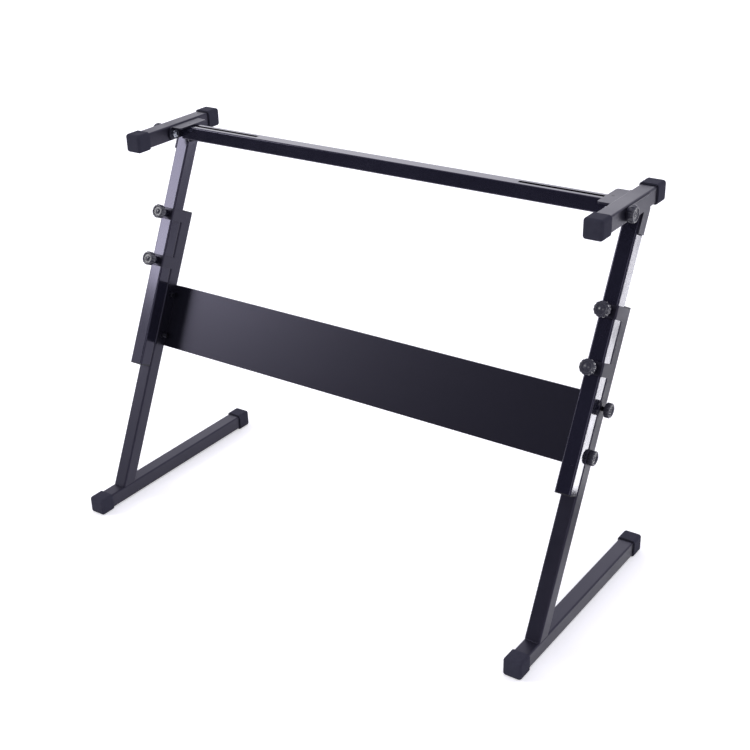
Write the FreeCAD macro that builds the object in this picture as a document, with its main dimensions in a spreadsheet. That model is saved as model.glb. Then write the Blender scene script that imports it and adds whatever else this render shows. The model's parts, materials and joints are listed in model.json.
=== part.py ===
import FreeCAD, Part
import math
import os
import Sketcher
from FreeCAD import Placement, Rotation, Vector

# A keyboard stand with two Z-shaped legs of square steel tube. Each leg is a foot, a leaning
# lower post welded to it, an upper post that slides on the lower one's front, and a short arm
# that carries the keyboard and folds down. A slotted bar joins the legs at the top and a sheet
# steel panel joins them in the middle.
#
# Frame: millimetres, +X to the right leg, +Y to the back, +Z up, origin on the floor in the
# middle of the two feet.

SIZES = {
    # tubes of the legs
    "leg_spacing": 920.0,  # between the middles of the two legs
    "tube": 28.0,  # side of the square tube
    "tube_wall": 1.5,
    "tube_corner": 3.0,
    "foot_length": 440.0,
    "post_lean": 26.0,  # degrees back from upright
    "post_setback": 76.5,  # foot's front end to the lower post's middle
    "lower_post_length": 546.5,  # from the foot's top, along the post
    "post_gap": 0.5,  # between the faces that slide on each other
    "upper_post_start": 242.0,  # lower end of the upper post, along the lower one
    # arms
    "arm_length": 216.0,
    "arm_top": 698.0,  # height of the arm's top face
    "arm_rest_gap": 0.3,  # between the arm and the post's end that stops it
    "pivot_reach": 89.0,  # arm's front end to its bolt
    "pivot_ahead": 69.0,  # bolt to the middle of the upper post, at arm height
    # rubber caps on the feet and arms, plastic plugs in the posts
    "cap_length": 30.0,
    "cap_wall": 2.8,
    "cap_end": 5.0,
    "cap_corner": 5.5,
    "cap_fit": 0.1,
    "plug_flange": 2.0,
    "plug_depth": 12.0,
    "plug_fit": 0.2,
    # clamp brackets that hold the upper post against the lower one
    "bracket_height": 22.0,
    "bracket_sheet": 2.5,
    "bracket_side_gap": 0.2,
    "bracket_front_gap": 0.8,
    "bracket_overlap": 8.5,  # of its side plates on the lower post
    "bracket_spacing": 91.0,
    "bracket_boss": 14.0,  # welded nut, across
    "bracket_boss_depth": 5.0,
    # hinge plates on each side of the arm
    "plate": 3.0,
    "plate_gap": 0.3,
    "lobe": 23.0,  # height of the plate round the arm's bolt
    "lobe_corner": 9.0,
    "strap_width": 22.0,
    "strap_inset": 1.0,  # behind the post's front face
    "outer_strap_drop": 37.0,  # below the arm, along the post
    "inner_strap_drop": 12.5,
    "flange_drop": 2.5,  # bar flange below the arm's top
    "flange_width": 24.0,
    "flange_length": 72.0,
    "flange_corner": 5.0,
    # slotted bar
    "bar_depth": 25.0,
    "bar_height": 25.0,
    "bar_wall": 1.5,
    "bar_corner": 2.5,
    "bar_behind_pivot": 33.0,
    "bar_end_gap": 0.7,
    "slot_width": 8.0,
    "slot_length": 168.0,
    # panel
    "panel_below_bracket": 29.0,  # its top edge to the lower bracket
    "panel_height": 121.0,
    "panel_sheet": 1.5,
    "panel_setback": 12.5,  # its back, behind the lower post's middle
    "panel_flange": 24.5,
    "panel_lip": 12.0,
    "panel_lip_inset": 6.0,
    "panel_bend": 2.5,
    "panel_knob_spacing": 80.0,
    "panel_nut": 12.0,
    "panel_nut_depth": 4.0,
    # screws and knobs
    "screw": 8.0,
    "screw_clearance": 0.1,  # on the radius
    "screw_tip_gap": 0.3,
    "screw_grip": 5.0,  # length inside a knob's head
    "knob_diameter": 26.0,
    "knob_thickness": 11.0,
    "knob_hub": 13.0,
    "knob_hub_length": 10.0,
    "knob_edge": 2.0,
    "knob_groove": 4.4,  # width of the grooves round a knob
    "knob_groove_depth": 1.3,
    "knob_gap": 0.5,
    "panel_knob_diameter": 25.0,
    "panel_knob_thickness": 9.0,
    "panel_knob_gap": 0.3,
    "panel_knob_backed_off": 6.5,  # the upper knobs are a few turns loose
    "panel_screw_past_nut": 7.0,  # so that a loose screw still fills its nut
    "arm_knob_diameter": 27.0,
    "arm_knob_thickness": 8.5,
    "nut_across": 13.0,
    "nut_thickness": 6.5,
    "bolt_past_nut": 2.0,
    # bolts of the bar
    "bar_bolt": 6.0,
    "bar_bolt_head": 10.0,
    "bar_bolt_head_height": 4.0,
    "washer": 12.0,
    "washer_thickness": 1.6,
}

SIDES = {"left": -1, "right": 1}
LEVELS = {"upper": 1, "lower": -1}
KNOB_GROOVES = 12
HEX_CORNERS = 6

doc = FreeCAD.newDocument("keyboard_stand")
sheet = doc.addObject("Spreadsheet::Sheet", "Dims")
for row, (alias, value) in enumerate(SIZES.items(), start=1):
    sheet.set(f"A{row}", alias)
    sheet.set(f"B{row}", str(value))
    sheet.setAlias(f"B{row}", alias)
doc.recompute()

# ---------------------------------------------------------------------------------------
# Sizes that follow from the sheet, for the places of the sub-parts
# ---------------------------------------------------------------------------------------


def size(alias):
    return float(sheet.get(alias))


LEAN = math.radians(size("post_lean"))
HALF_TUBE = size("tube") / 2
FOOT_TOP = size("cap_wall") + size("tube")
POST_Y = size("post_setback") - size("foot_length") / 2
ARM_Z = size("arm_top") - HALF_TUBE
UPPER_W = -(size("tube") + size("post_gap"))  # upper post's middle, across the posts
BRACKET_FRONT = UPPER_W - HALF_TUBE - size("bracket_front_gap") - size("bracket_sheet")


def along_post(height, across):
    """Distance up the leaning post at which a line `across` from its middle meets a height."""
    return (height - FOOT_TOP + across * math.sin(LEAN)) / math.cos(LEAN)


def post_point(across, up):
    """Y and Z of a point of the leaning posts' frame."""
    back = POST_Y + up * math.sin(LEAN) + across * math.cos(LEAN)
    height = FOOT_TOP + up * math.cos(LEAN) - across * math.sin(LEAN)
    return back, height


PIVOT_Y = post_point(UPPER_W, along_post(ARM_Z, UPPER_W))[0] - size("pivot_ahead")
BAR_Y = PIVOT_Y + size("bar_behind_pivot")
PLATE_INSIDE = HALF_TUBE + size("plate_gap")
PLATE_OUTSIDE = PLATE_INSIDE + size("plate")
FLANGE_TOP = size("arm_top") - size("flange_drop")
BAR_TOP = FLANGE_TOP - size("plate")
BAR_BOLT_X = size("leg_spacing") / 2 - PLATE_INSIDE - size("flange_width") / 2 - size("plate") / 2
BRACKET_UP = {
    "upper": size("lower_post_length") - size("bracket_height") / 2,
    "lower": size("lower_post_length") - size("bracket_height") / 2 - size("bracket_spacing"),
}
PANEL_TOP = BRACKET_UP["lower"] - size("bracket_height") / 2 - size("panel_below_bracket")
PANEL_MIDDLE = PANEL_TOP - size("panel_height") / 2

LEAN_BACK = Rotation(Vector(1, 0, 0), -size("post_lean"))


def leg_frame(side):
    """The leaning frame of a leg: Z up the post, Y across to its back."""
    middle = side * size("leg_spacing") / 2
    return Placement(Vector(middle, POST_Y, FOOT_TOP), LEAN_BACK)


def in_leg(side, x=0.0, across=0.0, up=0.0, turn=Rotation()):
    return leg_frame(side) * Placement(Vector(x, across, up), turn)


def at_pivot(side, x=0.0, turn=Rotation()):
    middle = side * size("leg_spacing") / 2
    return Placement(Vector(middle + x, PIVOT_Y, ARM_Z), turn)


# ---------------------------------------------------------------------------------------
# Small helpers for bodies, sketches and features
# ---------------------------------------------------------------------------------------

TUBE = "Dims.tube"
HALF = "Dims.tube / 2"
INSIDE = "(Dims.tube / 2 - Dims.tube_wall)"
UNDER_BRACKETS = "Dims.lower_post_length - Dims.bracket_height - Dims.bracket_spacing"
PANEL_BOTTOM = f"({UNDER_BRACKETS} - Dims.panel_below_bracket - Dims.panel_height)"
PARALLEL = 0.999  # least cosine between two lines that count as parallel
SAME_PLACE = 0.01
parts = {}


def new_body(label):
    body = doc.addObject("PartDesign::Body", label)
    body.Label = label
    parts[label] = body
    return body


def new_sketch(body, role, offset=None):
    sketch = body.newObject("Sketcher::SketchObject", "Sketch")
    plane = [item for item in body.Origin.OriginFeatures if item.Role == role][0]
    sketch.AttachmentSupport = [(plane, "")]
    sketch.MapMode = "FlatFace"
    if offset is not None:
        sketch.setExpression("AttachmentOffset.Base.z", offset)
    return sketch


def bind(sketch, constraint, expression):
    index = sketch.addConstraint(constraint)
    sketch.setExpression(f"Constraints[{index}]", expression)


def add_outline(sketch, corners):
    """A closed outline whose corners are pairs of expressions."""
    count = len(corners)
    first = sketch.GeometryCount
    start = [
        Vector(math.cos(2 * math.pi * k / count), math.sin(2 * math.pi * k / count), 0)
        for k in range(count)
    ]
    for k in range(count):
        sketch.addGeometry(Part.LineSegment(start[k], start[(k + 1) % count]), False)
    for k in range(count):
        sketch.addConstraint(
            Sketcher.Constraint("Coincident", first + k, 2, first + (k + 1) % count, 1)
        )
    for k, (across, up) in enumerate(corners):
        bind(sketch, Sketcher.Constraint("DistanceX", -1, 1, first + k, 1, start[k].x), across)
        bind(sketch, Sketcher.Constraint("DistanceY", -1, 1, first + k, 1, start[k].y), up)


def add_rectangle(sketch, left, right, low, high):
    add_outline(sketch, [(left, low), (right, low), (right, high), (left, high)])


def add_square(sketch, half):
    add_rectangle(sketch, f"-{half}", half, f"-{half}", half)


def add_circle(sketch, diameter, across="0", up="0"):
    start = 1.0  # any radius and place, as the expressions then set both
    circle = sketch.addGeometry(Part.Circle(Vector(start, start, 0), Vector(0, 0, 1), start), False)
    bind(sketch, Sketcher.Constraint("Diameter", circle, 2 * start), diameter)
    bind(sketch, Sketcher.Constraint("DistanceX", -1, 1, circle, 3, start), across)
    bind(sketch, Sketcher.Constraint("DistanceY", -1, 1, circle, 3, start), up)


def add_feature(body, kind, sketch, length=None, both_ways=False, reverse=False):
    feature = body.newObject(f"PartDesign::{kind}", kind)
    feature.Profile = sketch
    feature.Midplane = both_ways
    feature.Reversed = reverse
    if length is None:
        feature.Type = "ThroughAll"
    else:
        feature.setExpression("Length", length)
    sketch.Visibility = False
    doc.recompute()
    return feature


def add_fillet(body, feature, radius, wanted):
    """Round the straight edges of a feature for which wanted(middle, direction) is true."""
    names = []
    for number, edge in enumerate(feature.Shape.Edges, start=1):
        if not isinstance(edge.Curve, Part.Line):
            continue
        middle = edge.valueAt((edge.FirstParameter + edge.LastParameter) / 2)
        if wanted(middle, edge.tangentAt(edge.FirstParameter)):
            names.append(f"Edge{number}")
    fillet = body.newObject("PartDesign::Fillet", "Fillet")
    fillet.Base = (feature, names)
    fillet.setExpression("Radius", radius)
    doc.recompute()


def runs_along(axis):
    return lambda middle, direction: abs(getattr(direction, axis)) > PARALLEL


def round_hole(body, role, diameter, across="0", up="0"):
    """A hole right through the body."""
    sketch = new_sketch(body, role)
    add_circle(sketch, diameter, across, up)
    add_feature(body, "Pocket", sketch, both_ways=True)


# ---------------------------------------------------------------------------------------
# Feet, posts and arms: square tube
# ---------------------------------------------------------------------------------------

RUNNING_HOLE = "Dims.screw + 2 * Dims.screw_clearance"


def make_tube_along_y(label, front, back):
    """A square tube along Y, whose ends are expressions of Y."""
    body = new_body(label)
    profile = new_sketch(body, "XZ_Plane", f"-({back})")
    add_square(profile, HALF)
    block = add_feature(body, "Pad", profile, f"({back}) - ({front})")
    add_fillet(body, block, "Dims.tube_corner", runs_along("y"))
    bore = new_sketch(body, "XZ_Plane")
    add_square(bore, INSIDE)
    add_feature(body, "Pocket", bore, both_ways=True)
    return body


def make_post(label, ends):
    """A square tube up the leaning frame. `ends` are its four corners seen from the side."""
    body = new_body(label)
    side_view = new_sketch(body, "YZ_Plane")
    add_outline(side_view, ends)
    block = add_feature(body, "Pad", side_view, TUBE, both_ways=True)
    add_fillet(body, block, "Dims.tube_corner", runs_along("z"))
    bore = new_sketch(body, "XY_Plane")
    add_square(bore, INSIDE)
    add_feature(body, "Pocket", bore, both_ways=True)
    return body


def make_foot(label, side):
    body = make_tube_along_y(label, "-Dims.foot_length / 2", "Dims.foot_length / 2")
    middle = Vector(side * size("leg_spacing") / 2, 0, size("cap_wall") + HALF_TUBE)
    body.Placement = Placement(middle, Rotation())


def make_lower_post(label, side):
    """Welded to the foot, so its lower end is cut level. Holes take the panel's screws."""
    slope = f"{HALF} * tan(Dims.post_lean)"
    top = "Dims.lower_post_length"
    body = make_post(label, [(f"-{HALF}", f"-{slope}"), (HALF, slope), (HALF, top), (f"-{HALF}", top)])
    for level in LEVELS.values():
        up = f"{PANEL_BOTTOM} + Dims.panel_height / 2 + {level} * Dims.panel_knob_spacing / 2"
        round_hole(body, "YZ_Plane", RUNNING_HOLE, up=up)
    body.Placement = leg_frame(side)


def make_upper_post(label, side):
    """Square below, cut level under the arm above."""
    slope = f"{HALF} * tan(Dims.post_lean)"
    height = (
        "(Dims.arm_top - Dims.arm_rest_gap - 2 * Dims.tube - Dims.cap_wall"
        " - (Dims.tube + Dims.post_gap) * sin(Dims.post_lean)) / cos(Dims.post_lean)"
        " - Dims.upper_post_start"
    )
    body = make_post(
        label,
        [(f"-{HALF}", "0"), (HALF, "0"), (HALF, f"{height} + {slope}"), (f"-{HALF}", f"{height} - {slope}")],
    )
    body.Placement = in_leg(side, across=UPPER_W, up=size("upper_post_start"))


def make_arm(label, side):
    """Turns on the bolt through its middle height."""
    body = make_tube_along_y(label, "-Dims.pivot_reach", "Dims.arm_length - Dims.pivot_reach")
    round_hole(body, "YZ_Plane", RUNNING_HOLE)
    body.Placement = at_pivot(side)


# ---------------------------------------------------------------------------------------
# End caps and plugs
# ---------------------------------------------------------------------------------------


def make_cap(label, placement):
    """A deep rubber cap. Its closed end looks to -Y and the tube ends at Y = 0."""
    body = new_body(label)
    outside = new_sketch(body, "XZ_Plane", "Dims.cap_end")
    add_square(outside, f"({HALF} + Dims.cap_wall)")
    block = add_feature(body, "Pad", outside, "Dims.cap_length", reverse=True)
    closed_end = -size("cap_end")
    add_fillet(
        body,
        block,
        "Dims.cap_corner",
        lambda middle, direction: abs(direction.y) > PARALLEL
        or abs(middle.y - closed_end) < SAME_PLACE,
    )
    socket = new_sketch(body, "XZ_Plane")
    add_square(socket, f"({HALF} + Dims.cap_fit)")
    add_feature(body, "Pocket", socket, "Dims.cap_length")
    body.Placement = placement


def make_plug(label, placement):
    """A plastic plug: a flange over the tube's end and a spigot below it."""
    body = new_body(label)
    flange = new_sketch(body, "XY_Plane")
    add_square(flange, HALF)
    top = add_feature(body, "Pad", flange, "Dims.plug_flange")
    add_fillet(body, top, "Dims.tube_corner", runs_along("z"))
    spigot = new_sketch(body, "XY_Plane")
    add_square(spigot, f"({INSIDE} - Dims.plug_fit)")
    add_feature(body, "Pad", spigot, "Dims.plug_depth", reverse=True)
    body.Placement = placement


# ---------------------------------------------------------------------------------------
# Clamp brackets, hinge plates
# ---------------------------------------------------------------------------------------


def make_bracket(label, placement):
    """A folded steel strap round the front post, with a nut welded to its front."""
    body = new_body(label)
    inside = f"({HALF} + Dims.bracket_side_gap)"
    outside = f"({inside} + Dims.bracket_sheet)"
    back = f"(-{HALF} + Dims.bracket_overlap)"
    front_inside = "(-1.5 * Dims.tube - Dims.post_gap - Dims.bracket_front_gap)"
    front_outside = f"({front_inside} - Dims.bracket_sheet)"
    strap = new_sketch(body, "XY_Plane")
    add_outline(
        strap,
        [
            (f"-{outside}", front_outside),
            (outside, front_outside),
            (outside, back),
            (inside, back),
            (inside, front_inside),
            (f"-{inside}", front_inside),
            (f"-{inside}", back),
            (f"-{outside}", back),
        ],
    )
    block = add_feature(body, "Pad", strap, "Dims.bracket_height", both_ways=True)
    add_fillet(
        body,
        block,
        "Dims.bracket_sheet",
        lambda middle, direction: abs(direction.z) > PARALLEL
        and abs(middle.y - BRACKET_FRONT) < SAME_PLACE,
    )
    nut = new_sketch(body, "XZ_Plane", f"-{front_outside}")
    add_circle(nut, "Dims.bracket_boss")
    add_feature(body, "Pad", nut, "Dims.bracket_boss_depth")
    hole = new_sketch(body, "XZ_Plane", f"-{front_inside} - Dims.bracket_front_gap")
    add_circle(hole, RUNNING_HOLE)
    add_feature(body, "Pocket", hole, "Dims.tube", reverse=True)
    body.Placement = placement


def plate_outline(top, strap_drop):
    """Corners of a hinge plate in Y and Z, measured from the arm's bolt.

    A lobe round the bolt runs back along the arm and turns down along the upper post.
    """
    lean = "Dims.post_lean"
    post_ahead = "Dims.pivot_ahead"
    front_edge = "(-Dims.tube / 2 + Dims.strap_inset)"
    back_edge = f"({front_edge} + Dims.strap_width)"
    lobe = "Dims.lobe / 2"
    drop = f"(Dims.tube / 2 / cos({lean}) + {strap_drop})"

    def edge_at(edge, height):
        return f"{post_ahead} + {edge} / cos({lean}) + ({height}) * tan({lean})"

    def strap_end(edge):
        across = f"{post_ahead} - {drop} * sin({lean}) + {edge} * cos({lean})"
        up = f"-{drop} * cos({lean}) - {edge} * sin({lean})"
        return across, up

    return [
        (f"-{lobe}", f"-{lobe}"),
        (edge_at(front_edge, f"-{lobe}"), f"-{lobe}"),
        strap_end(front_edge),
        strap_end(back_edge),
        (edge_at(back_edge, "-Dims.tube / 2"), "-Dims.tube / 2"),
        (edge_at(back_edge, "-Dims.tube / 2"), top),
        (f"-{lobe}", top),
    ]


def round_plate_front(body, feature):
    nose = -size("lobe") / 2
    add_fillet(
        body,
        feature,
        "Dims.lobe_corner",
        lambda middle, direction: abs(direction.x) > PARALLEL and abs(middle.y - nose) < SAME_PLACE,
    )


def make_outer_plate(label, side):
    """Welded to the outer side of the upper post, reaching forward to the arm's bolt."""
    body = new_body(label)
    outline = new_sketch(body, "YZ_Plane", f"{side} * ({HALF} + Dims.plate_gap)")
    add_outline(outline, plate_outline("Dims.lobe / 2", "Dims.outer_strap_drop"))
    block = add_feature(body, "Pad", outline, "Dims.plate", reverse=side < 0)
    round_plate_front(body, block)
    round_hole(body, "YZ_Plane", RUNNING_HOLE)
    body.Placement = at_pivot(side)


def make_inner_plate(label, side):
    """As the outer one, with its top edge folded inwards over the end of the bar."""
    body = new_body(label)
    inward = -side
    top = f"({HALF} - Dims.flange_drop)"
    outline = new_sketch(body, "YZ_Plane", f"{inward} * ({HALF} + Dims.plate_gap)")
    add_outline(outline, plate_outline(top, "Dims.inner_strap_drop"))
    block = add_feature(body, "Pad", outline, "Dims.plate", reverse=inward < 0)
    round_plate_front(body, block)
    flange = new_sketch(body, "XY_Plane", f"{top} - Dims.plate")
    at_plate = f"{inward} * ({HALF} + Dims.plate_gap)"
    at_edge = f"{inward} * ({HALF} + Dims.plate_gap + Dims.flange_width)"
    front = "Dims.bar_behind_pivot - Dims.flange_length / 2"
    back = "Dims.bar_behind_pivot + Dims.flange_length / 2"
    add_rectangle(flange, at_plate, at_edge, front, back)
    tongue = add_feature(body, "Pad", flange, "Dims.plate")
    edge_x = inward * (PLATE_INSIDE + size("flange_width"))
    add_fillet(
        body,
        tongue,
        "Dims.flange_corner",
        lambda middle, direction: abs(direction.z) > PARALLEL and abs(middle.x - edge_x) < SAME_PLACE,
    )
    round_hole(body, "YZ_Plane", RUNNING_HOLE)
    bolt_x = f"{inward} * ({HALF} + Dims.plate_gap + (Dims.flange_width + Dims.plate) / 2)"
    round_hole(
        body,
        "XY_Plane",
        "Dims.bar_bolt + 2 * Dims.screw_clearance",
        across=bolt_x,
        up="Dims.bar_behind_pivot",
    )
    body.Placement = at_pivot(side)


# ---------------------------------------------------------------------------------------
# Bar and panel
# ---------------------------------------------------------------------------------------


def make_bar(label):
    """A flat rectangular tube with a long slot through its top near each end."""
    body = new_body(label)
    length = (
        "(Dims.leg_spacing - Dims.tube - 2 * Dims.plate_gap - 2 * Dims.plate - 2 * Dims.bar_end_gap)"
    )
    deep = "Dims.bar_depth / 2"
    high = "Dims.bar_height / 2"
    wall = "Dims.bar_wall"
    profile = new_sketch(body, "YZ_Plane")
    add_rectangle(profile, f"-{deep}", deep, f"-{high}", high)
    block = add_feature(body, "Pad", profile, length, both_ways=True)
    add_fillet(body, block, "Dims.bar_corner", runs_along("x"))
    bore = new_sketch(body, "YZ_Plane")
    inner_deep = f"({deep} - {wall})"
    inner_high = f"({high} - {wall})"
    add_rectangle(bore, f"-{inner_deep}", inner_deep, f"-{inner_high}", inner_high)
    add_feature(body, "Pocket", bore, length, both_ways=True)
    bolt_x = "(Dims.leg_spacing / 2 - Dims.tube / 2 - Dims.plate_gap - (Dims.flange_width + Dims.plate) / 2)"
    for side in SIDES.values():
        outer_end = f"{side} * ({bolt_x} + Dims.slot_width / 2)"
        inner_end = f"{side} * ({bolt_x} + Dims.slot_width / 2 - Dims.slot_length)"
        slot = new_sketch(body, "XY_Plane")
        add_rectangle(slot, inner_end, outer_end, "-Dims.slot_width / 2", "Dims.slot_width / 2")
        add_feature(body, "Pocket", slot, "Dims.bar_height", reverse=True)
        hole = new_sketch(body, "XY_Plane")
        add_circle(hole, "Dims.bar_bolt + 2 * Dims.screw_clearance", f"{side} * {bolt_x}")
        add_feature(body, "Pocket", hole, "Dims.bar_height")
    body.Placement = Placement(Vector(0, BAR_Y, BAR_TOP - size("bar_height") / 2), Rotation())


def make_panel(label):
    """One folded sheet: end flanges against the posts, stiffening lips along its back."""
    body = new_body(label)
    ends = "(Dims.leg_spacing / 2 - Dims.tube / 2)"
    sheet_in = f"({ends} - Dims.panel_sheet)"
    back = "Dims.panel_setback"
    face = "(Dims.panel_setback - Dims.panel_sheet)"
    flange_front = "(Dims.panel_setback - Dims.panel_flange)"
    top = f"({PANEL_BOTTOM} + Dims.panel_height)"
    plan = new_sketch(body, "XY_Plane", PANEL_BOTTOM)
    add_outline(
        plan,
        [
            (f"-{ends}", flange_front),
            (f"-{ends}", back),
            (ends, back),
            (ends, flange_front),
            (sheet_in, flange_front),
            (sheet_in, face),
            (f"-{sheet_in}", face),
            (f"-{sheet_in}", flange_front),
        ],
    )
    block = add_feature(body, "Pad", plan, "Dims.panel_height")
    back_y = size("panel_setback")
    add_fillet(
        body,
        block,
        "Dims.panel_bend",
        lambda middle, direction: abs(direction.z) > PARALLEL and abs(middle.y - back_y) < SAME_PLACE,
    )
    lip_end = f"({ends} - Dims.panel_lip_inset)"
    lip_back = "(Dims.panel_setback + Dims.panel_lip)"
    for low in (PANEL_BOTTOM, f"{top} - Dims.panel_sheet"):
        lip = new_sketch(body, "XY_Plane", low)
        add_rectangle(lip, f"-{lip_end}", lip_end, face, lip_back)
        add_feature(body, "Pad", lip, "Dims.panel_sheet")
    for side in SIDES.values():
        for level in LEVELS.values():
            up = f"{PANEL_BOTTOM} + Dims.panel_height / 2 + {level} * Dims.panel_knob_spacing / 2"
            nut = new_sketch(body, "YZ_Plane", f"{side} * ({sheet_in} - Dims.panel_nut_depth)")
            add_circle(nut, "Dims.panel_nut", up=up)
            add_feature(body, "Pad", nut, "Dims.panel_nut_depth", reverse=side < 0)
            hole = new_sketch(body, "YZ_Plane", f"{side} * ({sheet_in} - 2 * Dims.panel_nut_depth)")
            add_circle(hole, RUNNING_HOLE, up=up)
            add_feature(body, "Pocket", hole, "3 * Dims.panel_nut_depth", reverse=side > 0)
    body.Placement = leg_frame(0)


# ---------------------------------------------------------------------------------------
# Knobs, screws, nuts and washers, all made along their own +Z
# ---------------------------------------------------------------------------------------


def make_knob(label, placement, diameter, thickness, hub_length=None):
    """A round head with scalloped grips. Its back is at Z = 0, with a hub below it if any."""
    body = new_body(label)
    head = new_sketch(body, "XY_Plane")
    add_circle(head, diameter)
    disc = add_feature(body, "Pad", head, thickness)
    rounded = body.newObject("PartDesign::Fillet", "Edge")
    rims = [
        f"Edge{number}"
        for number, edge in enumerate(disc.Shape.Edges, start=1)
        if isinstance(edge.Curve, Part.Circle)
    ]
    rounded.Base = (disc, rims)
    rounded.setExpression("Radius", "Dims.knob_edge")
    doc.recompute()
    grip = new_sketch(body, "XY_Plane")
    reach = f"({diameter} + Dims.knob_groove) / 2 - Dims.knob_groove_depth"
    add_circle(grip, "Dims.knob_groove", across=reach)
    groove = add_feature(body, "Pocket", grip, thickness, reverse=True)
    pattern = body.newObject("PartDesign::PolarPattern", "Grips")
    pattern.Originals = [groove]
    pattern.Axis = (head, ["N_Axis"])
    pattern.Angle = 360
    pattern.Occurrences = KNOB_GROOVES
    body.Tip = pattern
    doc.recompute()
    depth = "Dims.screw_grip"
    if hub_length is not None:
        hub = new_sketch(body, "XY_Plane")
        add_circle(hub, "Dims.knob_hub")
        add_feature(body, "Pad", hub, hub_length, reverse=True)
        depth = f"Dims.screw_grip + {hub_length}"
    bore = new_sketch(body, "XY_Plane", "Dims.screw_grip")
    add_circle(bore, RUNNING_HOLE)
    add_feature(body, "Pocket", bore, depth)
    body.Placement = placement


def make_rod(label, placement, diameter, length):
    """A screw's shank, from Z = 0 up."""
    rod = doc.addObject("Part::Cylinder", label)
    rod.Label = label
    rod.setExpression("Radius", f"({diameter}) / 2")
    rod.setExpression("Height", length)
    rod.Placement = placement
    parts[label] = rod


def add_hexagon(sketch, across):
    """A hexagon with two of its flats square to the sketch's own X."""
    corners = []
    for k in range(HEX_CORNERS):
        angle = f"{(k + 0.5) * 360 / HEX_CORNERS}"
        reach = f"{across} / 2 / cos(180 / {HEX_CORNERS})"
        corners.append((f"{reach} * cos({angle})", f"{reach} * sin({angle})"))
    add_outline(sketch, corners)


def make_nut(label, placement, hole, across, thickness):
    body = new_body(label)
    hexagon = new_sketch(body, "XY_Plane")
    add_hexagon(hexagon, across)
    add_feature(body, "Pad", hexagon, thickness)
    round_hole(body, "XY_Plane", hole)
    body.Placement = placement


def make_bar_bolt(label, placement):
    """A hexagon bolt, head down, that reaches from below the bar to the flange's top."""
    body = new_body(label)
    head = new_sketch(body, "XY_Plane")
    add_hexagon(head, "Dims.bar_bolt_head")
    add_feature(body, "Pad", head, "Dims.bar_bolt_head_height", reverse=True)
    shank = new_sketch(body, "XY_Plane")
    add_circle(shank, "Dims.bar_bolt")
    add_feature(body, "Pad", shank, "Dims.washer_thickness + Dims.bar_height + Dims.plate")
    body.Placement = placement


def make_washer(label, placement):
    body = new_body(label)
    ring = new_sketch(body, "XY_Plane")
    add_circle(ring, "Dims.washer")
    add_circle(ring, "Dims.bar_bolt + 2 * Dims.screw_clearance")
    add_feature(body, "Pad", ring, "Dims.washer_thickness")
    body.Placement = placement


# ---------------------------------------------------------------------------------------
# The two legs
# ---------------------------------------------------------------------------------------

TO_FRONT = Rotation(Vector(1, 0, 0), 90)  # turns a knob's +Z to the leg's front
HALF_TURN = Rotation(Vector(0, 0, 1), 180)
UPSIDE_DOWN = Rotation(Vector(1, 0, 0), 180)


def outward(side):
    """Turns a knob's +Z away from the other leg."""
    return Rotation(Vector(0, 1, 0), side * 90)


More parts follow.
